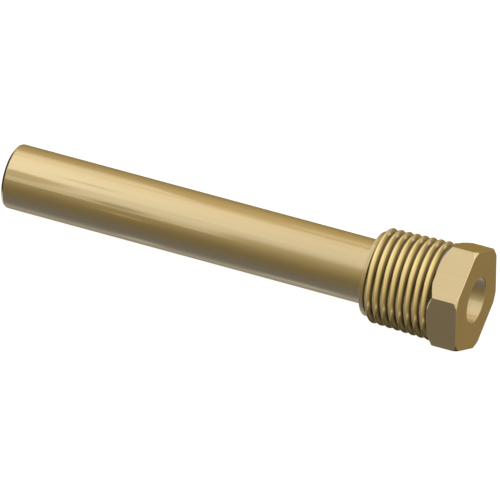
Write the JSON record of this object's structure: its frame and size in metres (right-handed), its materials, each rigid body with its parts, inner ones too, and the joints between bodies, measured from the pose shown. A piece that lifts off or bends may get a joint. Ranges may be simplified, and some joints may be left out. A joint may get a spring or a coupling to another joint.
{
  "type": "thermowell",
  "caption": "One-piece brass sensor pocket: a blind-bored round stem, a tapered pipe thread and a chamfered hexagonal head.",
  "frame": {"origin": "centre of the bore's mouth, on the outer face of the hexagon", "axes": "+X out of the bore's mouth, along the axis; +Z square to one flat of the hexagon; the hexagon's corners point along +Y and -Y"},
  "size_m": [0.1068, 0.0248, 0.0214],
  "materials": {
    "brass": "turned, satin"
  },
  "bodies": {
    "root": {"well_body": "brass"}
  },
  "joints": []
}
